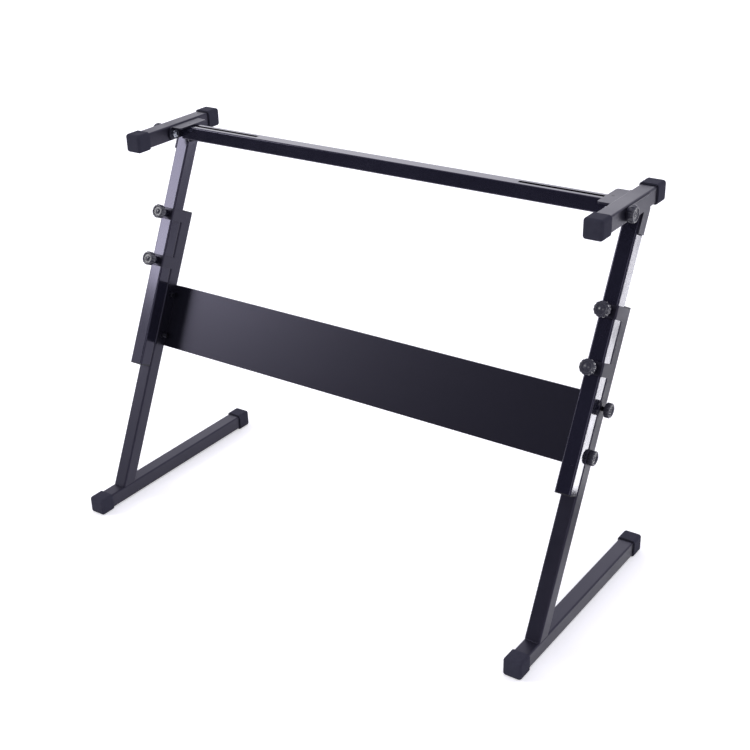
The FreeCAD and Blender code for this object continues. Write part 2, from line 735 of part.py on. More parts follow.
for name, side in SIDES.items():
    make_foot(f"foot_tube_{name}", side)
    make_lower_post(f"lower_post_{name}", side)
    make_upper_post(f"upper_post_{name}", side)
    make_arm(f"arm_tube_{name}", side)
    make_plug(f"lower_post_plug_{name}", in_leg(side, up=size("lower_post_length")))
    make_plug(
        f"upper_post_plug_{name}",
        in_leg(side, across=UPPER_W, up=size("upper_post_start"), turn=UPSIDE_DOWN),
    )

    leg_x = side * size("leg_spacing") / 2
    foot_z = size("cap_wall") + HALF_TUBE
    foot_end = size("foot_length") / 2
    arm_front = PIVOT_Y - size("pivot_reach")
    arm_back = arm_front + size("arm_length")
    make_cap(f"foot_cap_{name}_front", Placement(Vector(leg_x, -foot_end, foot_z), Rotation()))
    make_cap(f"foot_cap_{name}_rear", Placement(Vector(leg_x, foot_end, foot_z), HALF_TURN))
    make_cap(f"arm_cap_{name}_front", Placement(Vector(leg_x, arm_front, ARM_Z), Rotation()))
    make_cap(f"arm_cap_{name}_rear", Placement(Vector(leg_x, arm_back, ARM_Z), HALF_TURN))

    make_outer_plate(f"hinge_plate_outer_{name}", side)
    make_inner_plate(f"hinge_plate_inner_{name}", side)

    for level, up in BRACKET_UP.items():
        make_bracket(f"clamp_bracket_{name}_{level}", in_leg(side, up=up))
        knob_back = BRACKET_FRONT - size("bracket_boss_depth") - size("knob_gap")
        head_back = knob_back - size("knob_hub_length")
        make_knob(
            f"height_knob_{name}_{level}",
            in_leg(side, across=head_back, up=up, turn=TO_FRONT),
            "Dims.knob_diameter",
            "Dims.knob_thickness",
            "Dims.knob_hub_length",
        )
        tip = UPPER_W - HALF_TUBE - size("screw_tip_gap")
        make_rod(
            f"height_screw_{name}_{level}",
            in_leg(side, across=tip, up=up, turn=TO_FRONT),
            "Dims.screw",
            "Dims.bracket_front_gap - Dims.screw_tip_gap + Dims.bracket_sheet"
            " + Dims.bracket_boss_depth + Dims.knob_gap + Dims.knob_hub_length"
            " + Dims.screw_grip - Dims.screw_clearance",
        )

    for level, sign in LEVELS.items():
        up = PANEL_MIDDLE + sign * size("panel_knob_spacing") / 2
        stand_off = size("panel_knob_backed_off") if level == "upper" else size("panel_knob_gap")
        head_x = side * (HALF_TUBE + stand_off)
        make_knob(
            f"panel_knob_{name}_{level}",
            in_leg(side, x=head_x, up=up, turn=outward(side)),
            "Dims.panel_knob_diameter",
            "Dims.panel_knob_thickness",
        )
        reach = (
            "Dims.tube + Dims.panel_sheet + Dims.panel_nut_depth + Dims.panel_screw_past_nut"
            " + Dims.panel_knob_gap + Dims.screw_grip - Dims.screw_clearance"
        )
        nut_end = size("tube") + size("panel_sheet") + size("panel_nut_depth")
        inner_end = nut_end + size("panel_screw_past_nut") + size("panel_knob_gap")
        screw_x = head_x - side * inner_end
        make_rod(
            f"panel_screw_{name}_{level}",
            in_leg(side, x=screw_x, up=up, turn=outward(side)),
            "Dims.screw",
            reach,
        )

    knob_x = side * (PLATE_OUTSIDE + size("panel_knob_gap"))
    make_knob(
        f"arm_knob_{name}",
        at_pivot(side, knob_x, outward(side)),
        "Dims.arm_knob_diameter",
        "Dims.arm_knob_thickness",
    )
    past_plate = size("nut_thickness") + size("bolt_past_nut")
    make_rod(
        f"arm_bolt_{name}",
        at_pivot(side, -side * (PLATE_OUTSIDE + past_plate), outward(side)),
        "Dims.screw",
        "Dims.tube + 2 * Dims.plate_gap + 2 * Dims.plate + Dims.nut_thickness"
        " + Dims.bolt_past_nut + Dims.panel_knob_gap + Dims.screw_grip - Dims.screw_clearance",
    )
    make_nut(
        f"arm_nut_{name}",
        at_pivot(side, -side * PLATE_OUTSIDE, outward(-side)),
        RUNNING_HOLE,
        "Dims.nut_across",
        "Dims.nut_thickness",
    )

    bar_bottom = BAR_TOP - size("bar_height")
    under_washer = Vector(side * BAR_BOLT_X, BAR_Y, bar_bottom - size("washer_thickness"))
    make_bar_bolt(f"bar_bolt_{name}", Placement(under_washer, Rotation()))
    make_washer(f"bar_washer_{name}", Placement(under_washer, Rotation()))

make_bar("top_bar")
make_panel("panel")

# ---------------------------------------------------------------------------------------
# Checks and files
# ---------------------------------------------------------------------------------------

doc.recompute()
for item in doc.Objects:
    if "Invalid" in item.State or "Error" in item.State:
        raise RuntimeError(f"{item.Label} failed: {item.State}")

os.makedirs("parts", exist_ok=True)
for label, part in sorted(parts.items()):
    if part.Shape.isNull() or not part.Shape.isValid() or part.Shape.Volume <= 0:
        raise RuntimeError(f"{label} has no valid shape")
    if len(part.Shape.Solids) != 1:
        raise RuntimeError(f"{label} is {len(part.Shape.Solids)} solids, not one")
    part.Shape.exportStep(f"parts/{label}.step")
print(f"{len(parts)} sub-parts written")
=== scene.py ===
# %% [markdown]
# # A folding keyboard stand
#
# The real object is a music stand of square steel tube. Each leg is a Z: a foot on the floor, a
# post that leans back, and a short arm on top that carries the keyboard. The tubes are painted
# black, the ends wear rubber caps, and moulded knobs clamp what slides or turns.
#
# The frame brings every tube, plate and cap at its true size. What this lesson adds is what the
# eye looks for up close: moulded grips, cut threads, a chamfered nut, weld beads and finishes.

# %% Load the frame
import bpy
import math
from mathutils import Matrix, Vector
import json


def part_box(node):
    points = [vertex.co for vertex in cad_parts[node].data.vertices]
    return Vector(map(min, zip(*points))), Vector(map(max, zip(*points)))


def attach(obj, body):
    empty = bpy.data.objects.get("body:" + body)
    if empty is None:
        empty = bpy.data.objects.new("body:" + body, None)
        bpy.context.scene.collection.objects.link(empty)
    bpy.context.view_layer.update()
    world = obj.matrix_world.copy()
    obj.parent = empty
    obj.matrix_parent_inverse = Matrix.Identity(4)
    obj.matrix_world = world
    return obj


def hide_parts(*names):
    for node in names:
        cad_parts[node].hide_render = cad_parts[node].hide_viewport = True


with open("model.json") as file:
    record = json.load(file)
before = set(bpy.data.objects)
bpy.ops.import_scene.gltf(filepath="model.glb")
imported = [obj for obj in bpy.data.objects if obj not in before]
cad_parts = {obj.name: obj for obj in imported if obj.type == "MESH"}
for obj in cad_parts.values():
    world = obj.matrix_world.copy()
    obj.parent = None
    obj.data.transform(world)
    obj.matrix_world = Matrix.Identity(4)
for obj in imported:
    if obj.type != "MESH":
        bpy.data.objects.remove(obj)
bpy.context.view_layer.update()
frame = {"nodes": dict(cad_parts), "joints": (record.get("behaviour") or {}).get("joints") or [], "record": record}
nodes = frame["nodes"]
joints = {joint["name"]: joint for joint in frame["joints"]}
SIDES = {"left": -1, "right": 1}
LEVELS = ("upper", "lower")
MM = 0.001

# %% [markdown]
# ## Small tools
#
# Operators act on whatever is selected, so every piece starts by letting go of everything. A
# finished piece keeps its place in its mesh and leaves its object at the origin, because patterns
# are read in object coordinates and must not slide.


# %% Select and place
def deselect():
    if bpy.context.object and bpy.context.object.mode != "OBJECT":
        bpy.ops.object.mode_set(mode="OBJECT")
    bpy.ops.object.select_all(action="DESELECT")


def make_active(obj):
    deselect()
    obj.select_set(True)
    bpy.context.view_layer.objects.active = obj


def put_place_in_mesh(obj):
    obj.data.transform(obj.matrix_world)
    obj.matrix_world = Matrix.Identity(4)
    obj.data.update()


def copy_of(obj, name, matrix):
    """A copy with its own mesh, moved by the matrix."""
    copy = obj.copy()
    copy.data = obj.data.copy()
    copy.name = name
    copy.data.name = name
    bpy.context.collection.objects.link(copy)
    copy.data.transform(matrix)
    return copy


def apply_modifier(obj, kind, **settings):
    make_active(obj)
    bpy.ops.object.modifier_add(type=kind)
    modifier = obj.modifiers[-1]
    for name, value in settings.items():
        setattr(modifier, name, value)
    bpy.ops.object.modifier_apply(modifier=modifier.name)


def join(pieces, name):
    deselect()
    for piece in pieces:
        piece.select_set(True)
    bpy.context.view_layer.objects.active = pieces[0]
    bpy.ops.object.join()
    joined = bpy.context.object
    joined.name = name
    joined.data.name = name
    return joined


def reach_along(node, point, axis):
    """How far a node's mesh reaches from a point along an axis: lowest and highest."""
    reach = [(vertex.co - point).dot(axis) for vertex in nodes[node].data.vertices]
    return min(reach), max(reach)


def turn_to(axis, point):
    """The matrix that sets a piece made along +Z on a line of the stand."""
    turn = Vector((0, 0, 1)).rotation_difference(axis).to_matrix().to_4x4()
    return Matrix.Translation(point) @ turn


bar_reach = reach_along("top_bar", Vector((0, 0, 0)), Vector((1, 0, 0)))
print("the bar reaches", [round(reach, 3) for reach in bar_reach], "m from the middle")

# %% [markdown]
# ## The camera
#
# The photo looks down on the stand from its right front. The lens, place and tilt below were
# solved from the tubes' edges, so the render lines up with the photo.

# %% Camera
IMAGE_SIZE = 750
FOCAL_PIXELS = 1320.6
CENTRE_X, CENTRE_Y = 341.9, 423.1
CAMERA_PLACE = Vector((1.2510, -1.7036, 1.3483))
YAW, PITCH, ROLL = math.radians(36.79), math.radians(-27.90), math.radians(-2.29)

forward = Vector((-math.sin(YAW) * math.cos(PITCH), math.cos(YAW) * math.cos(PITCH), math.sin(PITCH)))
level_right = Vector((math.cos(YAW), math.sin(YAW), 0))
level_up = level_right.cross(forward)
right = math.cos(ROLL) * level_right + math.sin(ROLL) * level_up
up = -math.sin(ROLL) * level_right + math.cos(ROLL) * level_up

bpy.ops.object.camera_add(location=CAMERA_PLACE)
camera = bpy.context.object
camera.name = "photo_camera"
axes = Matrix((right, up, -forward)).transposed().to_4x4()
camera.matrix_world = Matrix.Translation(CAMERA_PLACE) @ axes
camera.data.sensor_width = 36
camera.data.lens = FOCAL_PIXELS / IMAGE_SIZE * camera.data.sensor_width
camera.data.shift_x = (IMAGE_SIZE / 2 - CENTRE_X) / IMAGE_SIZE
camera.data.shift_y = (CENTRE_Y - IMAGE_SIZE / 2) / IMAGE_SIZE
bpy.context.scene.camera = camera
print("lens", round(camera.data.lens, 1), "mm")

# %% [markdown]
# ## Colours and nodes
#
# Colours are written as they look on a screen, in sRGB, and one function turns them to the linear
# values that Blender's sockets want. One more function adds any node with its settings and links.


# %% Colour and node helpers
def colour(hex_value):
    channels = [int(hex_value[k : k + 2], 16) / 255 for k in (1, 3, 5)]
    linear = [c / 12.92 if c <= 0.04045 else ((c + 0.055) / 1.055) ** 2.4 for c in channels]
    return (*linear, 1)


def add_node(tree, kind, inputs=None, **settings):
    """A node with its settings. An input is a plain value, or another node's output to link."""
    made = tree.nodes.new(kind)
    for name, value in settings.items():
        setattr(made, name, value)
    for name, value in (inputs or {}).items():
        if isinstance(value, bpy.types.NodeSocket):
            tree.links.new(value, made.inputs[name])
        else:
            made.inputs[name].default_value = value
    return made


def new_material(name):
    """A material with its principled shader, and the surface's own coordinates."""
    material = bpy.data.materials.new(name)
    material.use_nodes = True
    tree = material.node_tree
    shader = tree.nodes["Principled BSDF"]
    place = add_node(tree, "ShaderNodeTexCoord").outputs["Object"]
    return material, tree, shader, place


print("mid grey is", round(colour("#808080")[0], 3), "in linear light")

# %% [markdown]
# ## Powder coat
#
# The tubes are sprayed with a dry polyester powder and baked. The melt flows out into a hard, even
# skin with a faint orange peel, a dimple about every two millimetres, and it takes a soft sheen from
# the room, a touch violet in the photo. The rougher coat of the lower tubes spreads that sheen wide,
# and the upper posts, which slide, are smoother and carry clearer reflections.


# %% Powder coat
VIOLET_SHEEN = "#e0dbff"


def powder_coat(name, tint, smooth, dull, peel_mm):
    material, tree, shader, place = new_material(name)
    cloud = add_node(
        tree, "ShaderNodeTexNoise", {"Vector": place, "Scale": 1 / (60 * MM), "Detail": 3.0}
    )
    sheen = add_node(
        tree,
        "ShaderNodeMapRange",
        {
            "Value": cloud.outputs["Fac"],
            "From Min": 0.3,
            "From Max": 0.7,
            "To Min": smooth,
            "To Max": dull,
        },
    )
    shade = add_node(
        tree,
        "ShaderNodeMix",
        {"Factor": cloud.outputs["Fac"], "A": colour(tint[0]), "B": colour(tint[1])},
        data_type="RGBA",
    )
    peel = add_node(
        tree, "ShaderNodeTexNoise", {"Vector": place, "Scale": 1 / (peel_mm * MM), "Detail": 1.0}
    )
    bump = add_node(
        tree, "ShaderNodeBump", {"Height": peel.outputs["Fac"], "Strength": 0.12, "Distance": 0.05 * MM}
    )
    tree.links.new(shade.outputs["Result"], shader.inputs["Base Color"])
    tree.links.new(sheen.outputs["Result"], shader.inputs["Roughness"])
    tree.links.new(bump.outputs["Normal"], shader.inputs["Normal"])
    shader.inputs["IOR"].default_value = 1.5
    shader.inputs["Specular Tint"].default_value = colour(VIOLET_SHEEN)
    return material


tube_coat = powder_coat("satin_powder_coat", ("#111118", "#16161e"), 0.34, 0.42, 1.6)
slider_coat = powder_coat("gloss_powder_coat", ("#15151f", "#1c1c27"), 0.11, 0.15, 2.2)
print("made", tube_coat.name, "and", slider_coat.name)

# %% [markdown]
# ## Baked enamel on the panel
#
# The panel is thin sheet with a smoother stoved enamel. Rolled sheet is never quite flat, so broad
# shallow waves bend its reflections, and a fine grain stays from the degreased steel. The real grain
# is too fine to show, so it is drawn about a millimetre wide.

# %% Panel enamel
enamel, tree, shader, place = new_material("stoved_enamel")
wave = add_node(tree, "ShaderNodeTexNoise", {"Vector": place, "Scale": 1 / (140 * MM), "Detail": 1.0})
grain = add_node(tree, "ShaderNodeTexNoise", {"Vector": place, "Scale": 1 / (1.2 * MM), "Detail": 2.0})
flow = add_node(
    tree, "ShaderNodeBump", {"Height": wave.outputs["Fac"], "Strength": 0.25, "Distance": 0.6 * MM}
)
skin = add_node(
    tree,
    "ShaderNodeBump",
    {
        "Height": grain.outputs["Fac"],
        "Strength": 0.08,
        "Distance": 0.03 * MM,
        "Normal": flow.outputs["Normal"],
    },
)
gloss = add_node(
    tree,
    "ShaderNodeMapRange",
    {"Value": grain.outputs["Fac"], "From Min": 0.3, "From Max": 0.7, "To Min": 0.30, "To Max": 0.36},
)
depth = add_node(
    tree,
    "ShaderNodeMix",
    {"Factor": wave.outputs["Fac"], "A": colour("#0a0a0f"), "B": colour("#0f0f15")},
    data_type="RGBA",
)
tree.links.new(depth.outputs["Result"], shader.inputs["Base Color"])
tree.links.new(gloss.outputs["Result"], shader.inputs["Roughness"])
tree.links.new(skin.outputs["Normal"], shader.inputs["Normal"])
shader.inputs["Specular Tint"].default_value = colour(VIOLET_SHEEN)
print("made", enamel.name)

# %% [markdown]
# ## Moulded rubber and plastic
#
# The caps are soft PVC and the knobs are nylon, both moulded in spark-eroded steel. The tool's
# texture scatters light and makes them look dusty grey beside the paint. Its pits are too fine to
# show, so they are drawn 0.6 to 0.7 mm wide. Handling polishes the high spots a little, so a slower
# noise moves their roughness.


# %% Moulded finishes
def moulding(name, tint, rough, sheen, pit_mm, pit_depth_mm):
    material, tree, shader, place = new_material(name)
    pits = add_node(
        tree, "ShaderNodeTexNoise", {"Vector": place, "Scale": 1 / (pit_mm * MM), "Detail": 2.0}
    )
    handling = add_node(
        tree, "ShaderNodeTexNoise", {"Vector": place, "Scale": 1 / (9 * MM), "Detail": 4.0}
    )
    shade = add_node(
        tree,
        "ShaderNodeMix",
        {"Factor": handling.outputs["Fac"], "A": colour(tint[0]), "B": colour(tint[1])},
        data_type="RGBA",
    )
    polish = add_node(
        tree,
        "ShaderNodeMapRange",
        {
            "Value": handling.outputs["Fac"],
            "From Min": 0.3,
            "From Max": 0.7,
            "To Min": rough - 0.07,
            "To Max": rough + 0.05,
        },
    )
    bump = add_node(
        tree,
        "ShaderNodeBump",
        {"Height": pits.outputs["Fac"], "Strength": 0.5, "Distance": pit_depth_mm * MM},
    )
    tree.links.new(shade.outputs["Result"], shader.inputs["Base Color"])
    tree.links.new(polish.outputs["Result"], shader.inputs["Roughness"])
    tree.links.new(bump.outputs["Normal"], shader.inputs["Normal"])
    shader.inputs["Specular IOR Level"].default_value = sheen
    return material


cap_rubber = moulding("moulded_soft_pvc", ("#353540", "#40404b"), 0.6, 0.02, 0.7, 0.05)
knob_nylon = moulding("moulded_nylon", ("#31313b", "#3c3c46"), 0.27, 0.5, 0.6, 0.03)
plug_plastic = moulding("moulded_polyethylene", ("#141419", "#1b1b20"), 0.5, 0.4, 0.6, 0.03)
print("made", cap_rubber.name, knob_nylon.name, plug_plastic.name)

# %% [markdown]
# ## Bright zinc
#
# The arms' bolts and nuts are steel with a bright zinc plate. It is a metal, so it keeps the
# default IOR and takes its colour from the reflection. The plate grows in small crystals, which a
# cell pattern shows as patches a little brighter or duller than the next. They are drawn about a
# millimetre wide, far wider than real ones, so that they show.

# %% Zinc plate
zinc, tree, shader, place = new_material("bright_zinc_plate")
crystals = add_node(tree, "ShaderNodeTexVoronoi", {"Vector": place, "Scale": 1 / (1.1 * MM)})
patches = add_node(
    tree,
    "ShaderNodeMapRange",
    {
        "Value": crystals.outputs["Distance"],
        "From Min": 0.0,
        "From Max": 0.8,
        "To Min": 0.16,
        "To Max": 0.26,
    },
)
shade = add_node(
    tree,
    "ShaderNodeMix",
    {"Factor": crystals.outputs["Distance"], "A": colour("#c9ccd4"), "B": colour("#aeb2ba")},
    data_type="RGBA",
)
tree.links.new(shade.outputs["Result"], shader.inputs["Base Color"])
tree.links.new(patches.outputs["Result"], shader.inputs["Roughness"])
shader.inputs["Metallic"].default_value = 1
print("made", zinc.name)

# %% [markdown]
# ## Black screws
#
# The clamp screws and the bar's bolts are blackened: dipped in a hot bath that turns the steel's
# skin to a dark oxide, then oiled. It still mirrors like metal, but dimly, and a slow mottle shows
# where the oil has dried.

# %% Black oxide
black_oxide, tree, shader, place = new_material("oiled_black_oxide")
mottle = add_node(tree, "ShaderNodeTexNoise", {"Vector": place, "Scale": 1 / (3 * MM), "Detail": 3.0})
film = add_node(
    tree,
    "ShaderNodeMapRange",
    {"Value": mottle.outputs["Fac"], "From Min": 0.3, "From Max": 0.7, "To Min": 0.32, "To Max": 0.48},
)
shade = add_node(
    tree,
    "ShaderNodeMix",
    {"Factor": mottle.outputs["Fac"], "A": colour("#26262b"), "B": colour("#34343a")},
    data_type="RGBA",
)
tree.links.new(shade.outputs["Result"], shader.inputs["Base Color"])
tree.links.new(film.outputs["Result"], shader.inputs["Roughness"])
shader.inputs["Metallic"].default_value = 1
print("made", black_oxide.name)

# %% [markdown]
# ## Dress the frame
#
# The frame's nodes keep their meshes. Each only needs its material slot filled, and the record's
# own slots say which finish that is. The upper posts and the bar get the smoother coat.

# %% Materials on the frame
FINISH_OF_SLOT = {
    "frame_paint": tube_coat,
    "panel_paint": enamel,
    "cap_rubber": cap_rubber,
    "plug_plastic": plug_plastic,
    "knob_plastic": knob_nylon,
    "zinc_steel": zinc,
    "black_steel": black_oxide,
}
slot_of_node = {part["node"]: part["material_slot"] for part in frame["record"]["subparts"]}


def dress(obj, material):
    obj.data.materials.clear()
    obj.data.materials.append(material)


for name, obj in nodes.items():
    dress(obj, FINISH_OF_SLOT[slot_of_node[name]])
for side in SIDES:
    dress(nodes[f"upper_post_{side}"], slider_coat)
dress(nodes["top_bar"], slider_coat)
print("dressed", len(nodes), "nodes")

# %% [markdown]
# ## A lathe
#
# Knobs and threads are round about one axis. The plain way to draw such a thing is to extrude one
# vertex along half of its section and spin that line round the axis, as on a lathe. The section is
# a short list of radius and height in millimetres, so each number is a size of the real piece.


# %% Lathe
MERGE_DISTANCE = 0.001 * MM


def lathe(name, section_mm, steps):
    """Spin a section, a list of radius and height, round the Z axis."""
    section = [Vector((radius, 0, height)) * MM for radius, height in section_mm]
    deselect()
    bpy.ops.mesh.primitive_plane_add(size=MM, location=(0, 0, 0))
    obj = bpy.context.object
    obj.name = name
    bpy.ops.object.mode_set(mode="EDIT")
    bpy.ops.mesh.merge(type="CENTER")
    bpy.ops.transform.translate(value=section[0])
    for start, end in zip(section, section[1:]):
        bpy.ops.mesh.extrude_region_move(TRANSFORM_OT_translate={"value": end - start})
    bpy.ops.mesh.select_all(action="SELECT")
    bpy.ops.mesh.spin(steps=steps, angle=2 * math.pi, center=(0, 0, 0), axis=(0, 0, 1))
    bpy.ops.mesh.select_all(action="SELECT")
    bpy.ops.mesh.remove_doubles(threshold=MERGE_DISTANCE)
    bpy.ops.mesh.normals_make_consistent(inside=False)
    bpy.ops.object.mode_set(mode="OBJECT")
    return obj


print("the lathe merges points within", MERGE_DISTANCE, "m")

# %% [markdown]
# ## Knobs
#
# A clamp knob is one moulding: a round grip with hollows for the fingers, a rounded rim, a dished
# face, and on the height knobs a long neck that keeps the hand clear of the bracket. The lathe
# makes the round body, twelve cylinders cut the finger hollows, and a small bevel breaks the edges
# that the cut leaves, as a mould would.


# %% Knob mould
def rim(radius, height, fillet, steps=5):
    """The rounded front edge of a grip, from its side to its face."""
    turns = [k / steps * math.pi / 2 for k in range(steps + 1)]
    return [
        (radius - fillet + fillet * math.cos(turn), height - fillet + fillet * math.sin(turn))
        for turn in turns
    ]


HOLLOWS = 12
HOLLOW_RADIUS, HOLLOW_OUT = 2.2, 0.9
SCREW_HOLE, SCREW_HOLE_TOP = 4.05, 5
RIM_FILLET = 2.4
KNOB_STEPS = 96


def knob(name, diameter, thickness, neck):
    """A knob whose grip starts at Z = 0 and whose neck, if any, goes below it. Sizes in mm."""
    radius = diameter / 2
    section = [(0, SCREW_HOLE_TOP), (SCREW_HOLE, SCREW_HOLE_TOP)]
    if neck:
        section += [(SCREW_HOLE, -neck), (6.0, -neck), (6.5, 0.5 - neck), (6.5, -0.8), (7.4, 0)]
    else:
        section += [(SCREW_HOLE, 0)]
    section += [(radius - 1.5, 0), (radius - 0.4, 0.4), (radius, 1.5)]
    section += rim(radius, thickness, RIM_FILLET)
    section += [
        (radius - 3.6, thickness),
        (radius - 4.2, thickness - 0.3),
        (radius - 4.8, thickness - 1.2),
        (radius * 0.3, thickness - 1.6),
        (radius * 0.25, thickness - 1.2),
        (0, thickness - 1.1),
    ]
    body = lathe(name, section, KNOB_STEPS)
    cutters = []
    for k in range(HOLLOWS):
        turn = 2 * math.pi * k / HOLLOWS
        reach = (radius + HOLLOW_OUT) * MM
        deselect()
        bpy.ops.mesh.primitive_cylinder_add(
            vertices=24,
            radius=HOLLOW_RADIUS * MM,
            depth=3 * thickness * MM,
            location=(reach * math.cos(turn), reach * math.sin(turn), 0),
        )
        cutters.append(bpy.context.object)
    cutter = join(cutters, "finger_hollows")
    apply_modifier(body, "BOOLEAN", operation="DIFFERENCE", object=cutter, solver="EXACT")
    bpy.data.objects.remove(cutter)
    apply_modifier(
        body, "BEVEL", width=0.35 * MM, segments=2, limit_method="ANGLE", angle_limit=math.radians(50)
    )
    make_active(body)
    bpy.ops.object.shade_smooth_by_angle(angle=math.radians(38))
    dress(body, knob_nylon)
    return body


HEIGHT_GRIP, PANEL_GRIP, ARM_GRIP = 11, 9, 8.5
height_grip = knob("height_grip", 26, HEIGHT_GRIP, 10)
panel_grip = knob("panel_grip", 25, PANEL_GRIP, 0)
arm_grip = knob("arm_grip", 27, ARM_GRIP, 0)
print("knob faces", [len(grip.data.polygons) for grip in (height_grip, panel_grip, arm_grip)])

# %% [markdown]
# ## Place the knobs
#
# Every knob turns on its own screw, and the joint holds that screw's line. The frame's plain knob
# says how far out the face lies, so the moulded one is set to the same face and takes its place.


# %% Knobs in place
def set_knob(grip, thickness, node, joint_name, body):
    joint = joints[joint_name]
    point, axis = Vector(joint["pos_m"]), Vector(joint["axis"]).normalized()
    face = reach_along(node, point, axis)[1]
    piece = copy_of(grip, f"moulded_{node}", turn_to(axis, point + axis * (face - thickness * MM)))
    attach(piece, body)
    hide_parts(node)


CLAMP_GRIPS = {"height": (height_grip, HEIGHT_GRIP), "panel": (panel_grip, PANEL_GRIP)}
for side in SIDES:
    for level in LEVELS:
        end = f"{side}_{level}"
        for kind, (grip, thickness) in CLAMP_GRIPS.items():
            turn = f"{kind}_knob_turn_{end}"
            set_knob(grip, thickness, f"{kind}_knob_{end}", turn, f"{kind}_clamp_{end}")
    set_knob(arm_grip, ARM_GRIP, f"arm_knob_{side}", f"arm_knob_turn_{side}", f"arm_clamp_{side}")
for grip in (height_grip, panel_grip, arm_grip):
    bpy.data.objects.remove(grip)
print("ten knobs in place")

# %% [markdown]
# ## Cut threads
#
# The screws are M8 with a pitch of 1.25 mm. At this size a thread reads as a row of grooves, so the
# lathe cuts rings instead of a helix. The crest stays inside the frame's plain shank and the first
# thread is chamfered, as on a rolled screw.

# %% Threads
THREAD_PITCH = 1.25
CREST, ROOT = 3.97, 3.35
POINT = ROOT - 0.2
ROD_STEPS = 32


def threaded_rod(name, length_mm):
    turns = int((length_mm - 2) / THREAD_PITCH)
    section = [(0, 0), (POINT, 0), (ROOT, 0.3)]
    for k in range(turns):
        low = 0.6 + k * THREAD_PITCH
        section += [(ROOT, low), (CREST, low + 0.45), (CREST, low + 0.7), (ROOT, low + 1.15)]
    section += [(ROOT, length_mm - 0.5), (POINT, length_mm), (0, length_mm)]
    rod = lathe(name, section, ROD_STEPS)
    make_active(rod)
    bpy.ops.object.shade_smooth_by_angle(angle=math.radians(30))
    return rod


def set_rod(node, joint_name, body):
    joint = joints[joint_name]
    point, axis = Vector(joint["pos_m"]), Vector(joint["axis"]).normalized()
    low, high = reach_along(node, point, axis)
    rod = threaded_rod(f"threaded_{node}", (high - low) / MM)
    rod.data.transform(turn_to(axis, point + axis * low))
    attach(rod, body)
    dress(rod, FINISH_OF_SLOT[slot_of_node[node]])
    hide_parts(node)


for side in SIDES:
    for level in LEVELS:
        end = f"{side}_{level}"
        for kind in CLAMP_GRIPS:
            set_rod(f"{kind}_screw_{end}", f"{kind}_knob_turn_{end}", f"{kind}_clamp_{end}")
    set_rod(f"arm_bolt_{side}", f"arm_knob_turn_{side}", f"arm_clamp_{side}")
print("ten screws threaded")

# %% [markdown]
# ## The arm's nut
#
# The nut on the inner plate catches the light in the photo. A real one has its corners turned off
# by a cone on both faces. A six-sided cylinder, cut by the shape that it shares with a lathe-made
# disc of sloping edges, leaves exactly those curved bites.

# %% Nuts
NUT_ACROSS, NUT_THICK = 13, 6.5
NUT_CONE = math.radians(30)
NUT_STEPS = 72
corner = NUT_ACROSS / math.sqrt(3)
for side, sign in SIDES.items():
    deselect()
    bpy.ops.mesh.primitive_cylinder_add(
        vertices=6, radius=corner * MM, depth=NUT_THICK * MM, location=(0, 0, NUT_THICK / 2 * MM)
    )
    nut = bpy.context.object
    edge = NUT_ACROSS / 2 - 0.2
    bite = (corner + 0.3 - edge) * math.tan(NUT_CONE)
    disc = [(0, 0), (edge, 0), (corner + 0.3, bite)]
    disc += [(radius, NUT_THICK - height) for radius, height in reversed(disc)]
    turned = lathe("turned_disc", disc, NUT_STEPS)
    apply_modifier(nut, "BOOLEAN", operation="INTERSECT", object=turned, solver="EXACT")
    bpy.data.objects.remove(turned)
    deselect()
    bpy.ops.mesh.primitive_cylinder_add(vertices=48, radius=SCREW_HOLE * MM, depth=4 * NUT_THICK * MM)
    drill = bpy.context.object
    apply_modifier(nut, "BOOLEAN", operation="DIFFERENCE", object=drill, solver="EXACT")
    bpy.data.objects.remove(drill)
    apply_modifier(
        nut, "BEVEL", width=0.15 * MM, segments=2, limit_method="ANGLE", angle_limit=math.radians(25)
    )
    make_active(nut)
    bpy.ops.object.shade_smooth_by_angle(angle=math.radians(30))
    nut.name = f"chamfered_nut_{side}"
    low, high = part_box(f"arm_nut_{side}")
    inward = Vector((-sign, 0, 0))
    back_face = low.x if sign < 0 else high.x
    place_of_nut = Vector((back_face, (low.y + high.y) / 2, (low.z + high.z) / 2))
    nut.data.transform(nut.matrix_world)
    nut.matrix_world = Matrix.Identity(4)
    nut.data.transform(turn_to(inward, place_of_nut))
    dress(nut, zinc)
    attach(nut, "top_frame")
    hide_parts(f"arm_nut_{side}")
print("nuts", NUT_ACROSS, "mm across")

# %% [markdown]
# ## Weld beads
#
# A bead of weld is a row of frozen puddles, one every couple of millimetres, laid in the corner
# between two steels and painted over. One bead is made from a small ring that is extruded again
# and again, wider and narrower in turn, and then copied to each seam and stretched to its length. Each
# puddle ends as wide as it began, so the bead doesn't grow.

# %% One bead
BEAD_LENGTH = 20 * MM
PUDDLES = 9
BEAD_RADIUS = 1.7 * MM
BEAD_END = 0.55 * BEAD_RADIUS
PUDDLE_GROWTH = (1.75, 1.06, 1 / 1.855)

